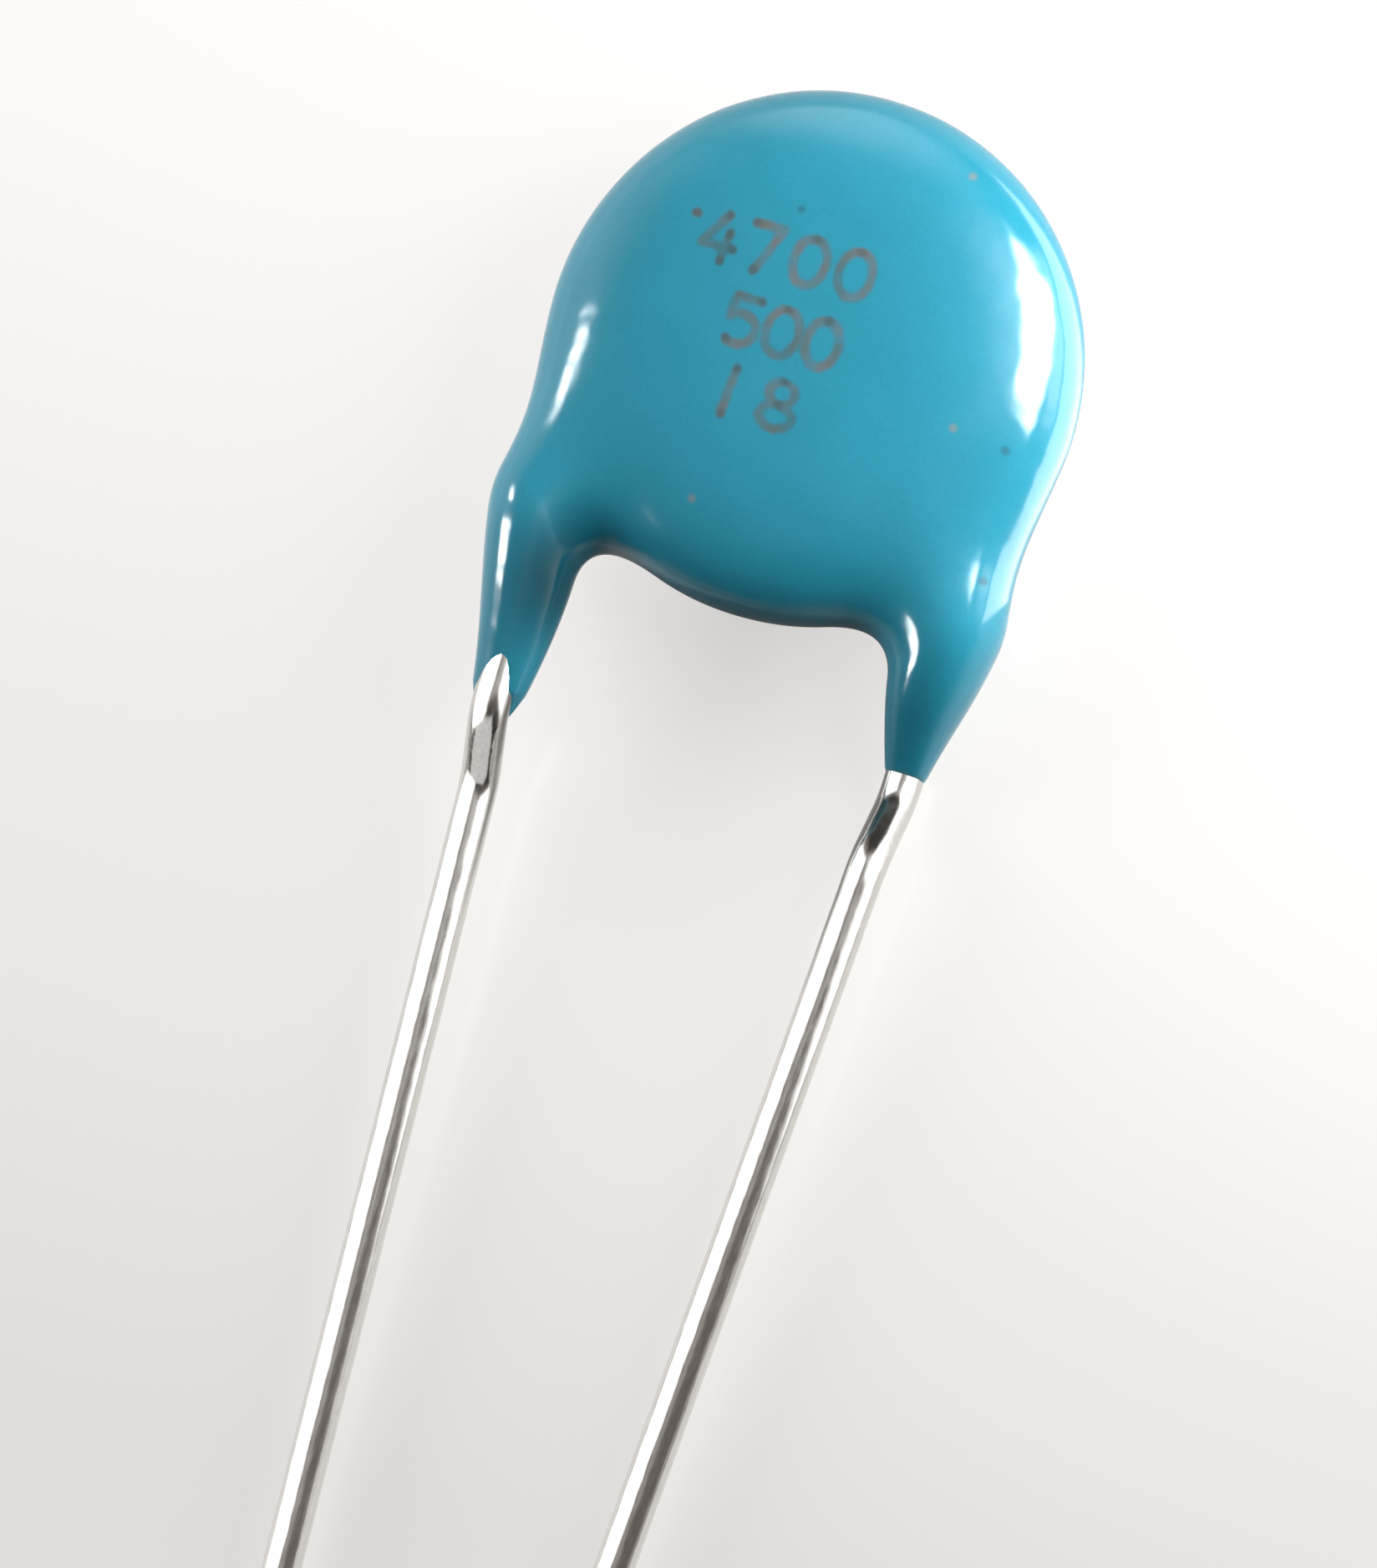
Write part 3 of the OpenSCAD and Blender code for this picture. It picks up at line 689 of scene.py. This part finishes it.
def tinned_copper():
    """Hot-tinned copper wire, bright, with waves drawn out along the wire."""
    material, tree, shader = new_finish("tinned_copper")
    waves = add(tree, NOISE, {
        "Vector": millimetre_coordinates(tree, WAVES_PER_MM), "Scale": 1.0, "Detail": 4.0})
    streaks = add(tree, NOISE, {
        "Vector": millimetre_coordinates(tree, STREAKS_PER_MM), "Scale": 1.0, "Detail": 2.0})
    dull, bright = map(colour, TIN_COLOURS)
    tin = add(tree, MIX, {0: streaks, 6: dull, 7: bright}, data_type="RGBA")
    relief = add(tree, "ShaderNodeBump", {
        "Strength": WAVE_STRENGTH, "Distance": WAVE_DEPTH * MM, "Height": waves})
    roughness = add(tree, RANGE, {0: streaks, 3: TIN_ROUGH[0], 4: TIN_ROUGH[1]})
    connect(tree, shader, {"Base Color": tin.outputs[2], "Roughness": roughness.outputs[0],
                           "Normal": relief.outputs[0]})
    shader.inputs["Metallic"].default_value = 1.0
    return material


# %% Make the leads
lead_nodes = lead_tree(tinned_copper())
leads = {side: piece_from_tree(f"tinned_{side}_lead", lead_nodes, {
    "Wire diameter": WIRE_D, "Bend radius": BEND_RADIUS, "Step": PATH_STEP, "Ripple": RIPPLE_DEPTH},
    start=line_mesh(side + "_path", [lead_corners(side)])) for side in LEGS}

# %% [markdown]
# ## The pieces sealed inside
# Nothing shows through the coat, but the pieces under it keep their own shapes,
# and each gets the finish that it would show if the coat were cut open: a
# chalky sintered disc, silver paint fired onto it, and bright solder.

# %% Finishes of the sealed pieces
ROUGH_SHARE = 0.2
GRAIN_STRENGTH, GRAIN_DEPTH = 0.3, 0.005


def speckled(name, dark, light, roughness, metallic, length):
    """A finish whose colour and roughness vary at one length, in millimetres."""
    material, tree, shader = new_finish(name)
    noise = add(tree, NOISE, {
        "Vector": millimetre_coordinates(tree), "Scale": 1 / length, "Detail": 3.0})
    tone = add(tree, MIX, {0: noise, 6: colour(dark), 7: colour(light)}, data_type="RGBA")
    spread = add(tree, RANGE, {
        0: noise, 3: roughness * (1 - ROUGH_SHARE), 4: roughness * (1 + ROUGH_SHARE)})
    relief = add(tree, "ShaderNodeBump", {
        "Strength": GRAIN_STRENGTH, "Distance": GRAIN_DEPTH * MM, "Height": noise})
    connect(tree, shader, {"Base Color": tone.outputs[2], "Roughness": spread.outputs[0],
                           "Normal": relief.outputs[0]})
    shader.inputs["Metallic"].default_value = metallic
    return material


SEALED = {
    # Sintered barium titanate: fine-grained, matt, warm off-white.
    "ceramic_disc": speckled("sintered_titanate", "#b9a88a", "#cfc0a2", 0.6, 0.0, 0.08),
    # Fired silver paste: pale matt metal with the grain of the paint.
    "front_electrode": speckled("fired_silver", "#b8b6b0", "#d9d7d1", 0.45, 1.0, 0.05),
    # Tin solder: bright, with a slow skin.
    "front_solder_joint": speckled("tin_solder", "#a9abad", "#d0d1d2", 0.28, 1.0, 0.3),
}
SEALED["back_electrode"] = SEALED["front_electrode"]
SEALED["back_solder_joint"] = SEALED["front_solder_joint"]
for name, material in SEALED.items():
    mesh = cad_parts[name].data
    mesh.materials.clear()
    mesh.materials.append(material)
print("finished:", sorted(SEALED))

# %% [markdown]
# ## The stage
# The part lies on a plain pale board. The board must look pale without lighting
# the part from below like a lamp, so its extra paleness is shown to the camera
# and to mirror-like rays only. That glow carries painted shade: it is fainter
# round the web between the legs, and a long mirrored ray below the legs meets it
# dim, because glow alone would leave out the part's own shade. It also carries
# painted light, a little paler toward the top of the disc.

# %% White laminate
BOARD_COLOUR, BOARD_ROUGH, GLOW_COLOUR = "#7d7b78", 0.2, "#f2f0ee"
# The glow that the camera sees, low and high on the board (the higher is painted light), and the
# glow that gloss mirrors.
SEEN_GLOW, TOP_GLOW_PAINTED_LIGHT, MIRRORED_GLOW = 0.7, 0.96, 0.8
GLOW_LOW_Y, GLOW_TOP_Y = -6.0, 16.0
# The shade round the web: its middle, its squash, where it begins and is full, and what is left.
WEB_MIDDLE, WEB_SQUASH = (0, -4.4, 0), (1.7, 1.0, 0.0)
SHADE_REACH, SHADE_DEPTH, SEEN_SHADE_DEPTH = (5.4, 3.0), 0.15, 0.8
# Painted shade in what the coat mirrors: a mirrored ray dims from the first length to the second,
# below the disc.
RAY_NEAR, RAY_FAR = 3.0, 8.0
BELOW_DISC_Y, BESIDE_DISC_Y = -2.0, 8.0


def pale_board():
    """White laminate with a soft gloss."""
    material, tree, shader = new_finish("pale_board")
    shader.inputs["Base Color"].default_value = colour(BOARD_COLOUR)
    shader.inputs["Roughness"].default_value = BOARD_ROUGH
    path = add(tree, "ShaderNodeLightPath")
    mirrored = add(tree, MATHS, {0: path.outputs["Is Glossy Ray"],
                                 1: path.outputs["Is Transmission Ray"]}, operation="MAXIMUM")
    # Round the web between the legs the board lies in the coat's own shade.
    place = millimetre_coordinates(tree)
    web = LAY @ Vector(WEB_MIDDLE) / MM
    away = add(tree, VECTORS, {0: place, 1: (web.x, web.y, 0)}, operation="SUBTRACT")
    away = add(tree, VECTORS, {0: away, 1: WEB_SQUASH}, operation="MULTIPLY")
    away = add(tree, VECTORS, {0: away}, operation="LENGTH").outputs["Value"]
    shade = add(tree, RANGE, {0: away, 1: SHADE_REACH[0], 2: SHADE_REACH[1],
                              3: MIRRORED_GLOW, 4: SHADE_DEPTH * MIRRORED_GLOW}, **EASED)
    mirrored = add(tree, MATHS, {0: mirrored, 1: shade}, operation="MULTIPLY")
    # Painted shade: the leads mirror the board close by at full glow; below the legs a long ray
    # skims it and meets it dim.
    skimming_shade = add(tree, RANGE, {
        0: path.outputs["Ray Length"], 1: RAY_NEAR * MM, 2: RAY_FAR * MM, 3: 1.0, 4: SHADE_DEPTH})
    along = add(tree, "ShaderNodeSeparateXYZ", {0: place}).outputs["Y"]
    past_disc = add(tree, RANGE, {0: along, 1: BELOW_DISC_Y, 2: BESIDE_DISC_Y})
    skimming_shade = add(tree, MATHS, {0: skimming_shade, 1: past_disc}, operation="MAXIMUM")
    mirrored = add(tree, MATHS, {0: mirrored, 1: skimming_shade}, operation="MULTIPLY")
    # Painted light: the glow that the camera sees is a little paler toward the top of the disc.
    painted_seen_glow = add(tree, RANGE, {
        0: along, 1: GLOW_LOW_Y, 2: GLOW_TOP_Y, 3: SEEN_GLOW, 4: TOP_GLOW_PAINTED_LIGHT})
    # Painted shade: the glow that the camera sees is fainter round the web as well.
    faint = add(tree, RANGE, {0: away, 1: SHADE_REACH[0], 2: 0.0, 3: 1.0, 4: SEEN_SHADE_DEPTH})
    painted_seen_glow = add(tree, MATHS, {0: painted_seen_glow, 1: faint}, operation="MULTIPLY")
    seen = add(tree, MATHS, {0: path.outputs["Is Camera Ray"], 1: painted_seen_glow, 2: mirrored},
               operation="MULTIPLY_ADD")
    glow = add(tree, "ShaderNodeEmission", {"Color": colour(GLOW_COLOUR), "Strength": seen})
    both = add(tree, "ShaderNodeAddShader", {0: shader, 1: glow})
    tree.links.new(both.outputs[0], tree.nodes["Material Output"].inputs["Surface"])
    return material


# %% The board
BOARD_SIZE = 0.8
half = BOARD_SIZE / 2
board_mesh = bpy.data.meshes.new("board")
board_mesh.from_pydata([(-half, -half, 0), (half, -half, 0), (half, half, 0), (-half, half, 0)],
                       [], [(0, 1, 2, 3)])
board_mesh.materials.append(pale_board())
board = bpy.data.objects.new("board", board_mesh)
scene.collection.objects.link(board)
print(f"board {BOARD_SIZE} m wide")

# %% [markdown]
# ## Camera
# The camera looks down on the marked face, leaning 14 degrees toward the back
# lead's side, and is rolled so that the part leans over in the frame. It stands
# far off behind a long lens, so the view is nearly parallel.

# %% The camera
VIEW_TILT, VIEW_ROLL = math.radians(14), math.radians(17)
FRAME_HEIGHT = 23.06  # in millimetres at the part
AIM_ACROSS, AIM_UP = 0.06, -6.43  # the frame's middle, from the middle of the disc
LENS, SENSOR = 180.0, 36.0
CLIP_NEAR, CLIP_FAR = 0.001, 10  # in metres


def turned(direction):
    """A direction in the drawing's axes, turned as the part lies."""
    return (LAY.to_3x3() @ Vector(direction)).normalized()


toward = Vector((math.sin(VIEW_TILT), 0, math.cos(VIEW_TILT)))
right = Vector((math.cos(VIEW_TILT), 0, -math.sin(VIEW_TILT)))
up = Vector((0, 1, 0))
distance = FRAME_HEIGHT * LENS / SENSOR
stand = LAY @ (right * AIM_ACROSS + up * AIM_UP + toward * distance)
picture_up = turned(up * math.cos(VIEW_ROLL) - right * math.sin(VIEW_ROLL))
picture_right = turned(right * math.cos(VIEW_ROLL) + up * math.sin(VIEW_ROLL))
backward = turned(toward)
camera_data = bpy.data.cameras.new("camera")
camera_data.lens, camera_data.sensor_width = LENS, SENSOR
camera_data.clip_start, camera_data.clip_end = CLIP_NEAR, CLIP_FAR
camera = bpy.data.objects.new("camera", camera_data)
turn = Matrix((picture_right, picture_up, backward)).transposed()
camera.matrix_world = Matrix.Translation(stand) @ turn.to_4x4()
scene.collection.objects.link(camera)
scene.camera = camera
print(f"camera {distance:.1f} mm from the part")

# %% [markdown]
# ## Light
# A small glossy thing is lit twice. Softboxes at the right and the left light
# the colour. White cards, placed by where each gleam should fall, are only
# mirrored: they make the long gleam on the right of the disc, the short ones at
# its left and on the legs, and the white sides of the wires. What no card covers
# stays dim, and that is the dark line down each bright wire. Splitting the two
# jobs keeps the colour as it is written, however bright a gleam is.

# %% Lamps with soft edges
AIM = LAY @ Vector((0, -1.5, 1))


def soft_edge(tree, place, soft):
    """1 inside, falling to 0 over the outer share of one side of the lamp."""
    away = add(tree, MATHS, {0: place, 1: 0.5}, operation="SUBTRACT")
    away = add(tree, MATHS, {0: away}, operation="ABSOLUTE")
    return add(tree, RANGE, {0: away, 1: 0.5, 2: 0.5 - soft}, **EASED)


def area_lamp(name, location, back, width, height, radiance, soft=0.05, roll=0.0,
              lights=True, gleams=True):
    """An area lamp facing away from back, its height up the disc; sizes in millimetres."""
    light = bpy.data.lights.new(name, "AREA")
    light.shape, light.size, light.size_y = "RECTANGLE", width * MM, height * MM
    light.energy = math.pi * width * height * MM ** 2  # so a strength of 1 is a radiance of 1
    light.use_nodes = True
    tree = light.node_tree
    place = add(tree, "ShaderNodeNewGeometry").outputs["Parametric"]
    place = add(tree, "ShaderNodeSeparateXYZ", {0: place})
    inside = add(tree, MATHS, {0: soft_edge(tree, place.outputs["X"], soft),
                               1: soft_edge(tree, place.outputs["Y"], soft)}, operation="MULTIPLY")
    inside = add(tree, MATHS, {0: inside, 1: radiance}, operation="MULTIPLY")
    tree.links.new(inside.outputs[0], tree.nodes["Emission"].inputs["Strength"])
    made = bpy.data.objects.new(name, light)
    side = turned((0, 1, 0)).cross(back).normalized()
    pose = Matrix((side, back.cross(side), back)).transposed().to_4x4()
    pose = pose @ Matrix.Rotation(math.radians(roll), 4, "Z")
    made.matrix_world = Matrix.Translation(location) @ pose
    made.visible_camera, made.visible_diffuse, made.visible_glossy = False, lights, gleams
    scene.collection.objects.link(made)
    return made


def softbox(name, direction, away, width, height, radiance, **kind):
    """An area lamp that faces the disc; direction is in the drawing's axes."""
    back = turned(direction)
    return area_lamp(name, AIM + back * away * MM, back, width, height, radiance, **kind)


def from_angles(across, upward):
    """A direction at these angles from the marked face's normal: toward +X, then toward +Y."""
    a, b = math.radians(across), math.radians(upward)
    return (math.sin(a) * math.cos(b), math.sin(b), math.cos(a) * math.cos(b))


# %% [markdown]
# Light linking gives each card to the coat or to the leads, as a card held close
# to one of them would be out of the other's sight. A far card moves its gleam
# with the curve of the skin alone. A near one, two or three centimetres off,
# ends its gleam sooner: the short ones on the left are made so.

# %% Cards that the coat mirrors
# A card is only mirrored, and it fades over this share of its width at each edge.
FIRM, SOFT, HAZY = ({"lights": False, "soft": share} for share in (0.15, 0.25, 0.45))


def seen_only_in(name, pieces, lamps):
    """The lamps' gleams fall on these pieces alone."""
    receivers = bpy.data.collections.new(name)
    for piece in pieces:
        receivers.objects.link(piece)
    for lamp in lamps:
        lamp.light_linking.receiver_collection = receivers
    print(f"{name}: {len(lamps)} cards")


# A softbox is given its direction, distance, width, height and radiance.
seen_only_in("gleams_on_coat", [coat], [
    # The long gleam on the right, its softer outer band, and the glow inside it.
    softbox("right_card", from_angles(58.5, 28), 30, 18.5, 29, 26, roll=-20, **FIRM),
    softbox("right_wall", from_angles(88, 29), 130, 85, 125, 4.5, **FIRM),
    softbox("right_glow", from_angles(38, 29), 140, 150, 175, 2.6, **HAZY),
    # The short gleams on the left rim, the front leg and inside the back leg.
    area_lamp("left_card", LAY @ Vector((-20.9, -1.3, 10.8)), turned(from_angles(-60, 0)),
              6.2, 3.4, 34, lights=False, soft=0.4),
    area_lamp("left_leg_card", LAY @ Vector((-20.5, -7.1, 10.9)), turned(from_angles(-60, -10)),
              11, 1.8, 30, **SOFT),
    softbox("low_left_card", from_angles(-60, -35), 140, 46, 24, 24, **FIRM),
    # The pale top of the rim, and the line of light along its right side.
    softbox("top_card", from_angles(-55, 68), 120, 220, 150, 2.2, **HAZY),
    area_lamp("right_sheet", LAY @ Vector((14.2, 4, -1.25)), turned((0, 0, -1)), 20, 20, 5.5,
              lights=False, soft=0.04)])

# %% Cards that the leads mirror
LEADS_MIDDLE = LAY @ Vector((0, -12, 0))
LEAD_CARD_AWAY = 60


def lead_card(name, direction, width, height, radiance):
    """A card that faces the middle of the leads."""
    back = turned(direction)
    return area_lamp(name, LEADS_MIDDLE + back * LEAD_CARD_AWAY * MM, back, width, height, radiance,
                     lights=False)


seen_only_in("gleams_on_leads", leads.values(), [
    lead_card("lead_left_card", from_angles(-50, 0), 120, 100, 1.6),
    lead_card("lead_low_card", from_angles(0, -68), 120, 90, 0.7),
    area_lamp("lead_right_card", LAY @ Vector((20, 6, 20)), turned((1, 0, 0)), 60, 34, 2.0,
              roll=-12, **FIRM)])

# %% Softboxes
softbox("right_softbox", from_angles(62, 28), 22, 20, 20, 8.6, gleams=False)
softbox("left_softbox", from_angles(-70, 5), 110, 90, 60, 7.5, gleams=False)

# %% [markdown]
# The room fills in what the lamps leave. Its walls are bright and its ceiling,
# past the camera, is dim. It is darker still below the leads, low at the right
# and far past the top, where the bends of the leads mirror it as dark spots.

# %% The room
WALL_FILL = 0.1
DIM_TONE, BRIGHT_TONE = "#d2c0b6", "#eef1f2"
# Direction, cosines at which the ceiling begins and the walls do, and how bright each is.
CEILING = (from_angles(-25, 5), 0.95, 0.64, 0.33, 1.2)
# Direction, cosines at which the dimness is full and at which it ends, and the light left.
DIM = [(from_angles(50, -35), 0.82, 0.6, 0.2), ((0, 1, 0), 0.74, 0.45, 0.06),
       ((0, -1, 0), 0.75, 0.0, 0.04)]
world = bpy.data.worlds.new("room")
world.use_nodes = True
sky = world.node_tree
way = add(sky, "ShaderNodeTexCoord").outputs["Generated"]


def by_direction(direction, start, end, at_start, at_end):
    """A share that runs between two values as the cosine to a direction does."""
    cosine = add(sky, VECTORS, {0: way, 1: turned(direction)}, operation="DOT_PRODUCT")
    return add(sky, RANGE, {
        0: cosine.outputs["Value"], 1: start, 2: end, 3: at_start, 4: at_end}, **EASED)


room_light = by_direction(*CEILING)
for direction, full, over, share in DIM:
    dimmed = by_direction(direction, full, over, share, 1.0)
    room_light = add(sky, MATHS, {0: room_light, 1: dimmed}, operation="MULTIPLY")
# What is dim is also warmer, so the dark lines down the wires are a brownish grey.
tone = add(sky, MIX, {0: room_light, 6: colour(DIM_TONE), 7: colour(BRIGHT_TONE)}, data_type="RGBA")
# The softboxes light the colour, so the walls add little to it.
path = add(sky, "ShaderNodeLightPath")
fill = add(sky, RANGE, {0: path.outputs["Is Diffuse Ray"], 3: 1.0, 4: WALL_FILL})
room_light = add(sky, MATHS, {0: room_light, 1: fill}, operation="MULTIPLY")
room = sky.nodes["Background"]
sky.links.new(tone.outputs[2], room.inputs["Color"])
sky.links.new(room_light.outputs[0], room.inputs["Strength"])
scene.world = world
print(len(DIM), "dim places in the room")
scene.view_settings.view_transform = "Standard"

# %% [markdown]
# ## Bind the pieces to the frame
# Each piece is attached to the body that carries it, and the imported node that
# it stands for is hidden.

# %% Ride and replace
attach(coat, "root")
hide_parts("coating")
for side, lead in leads.items():
    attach(lead, "root")
    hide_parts(side + "_lead")
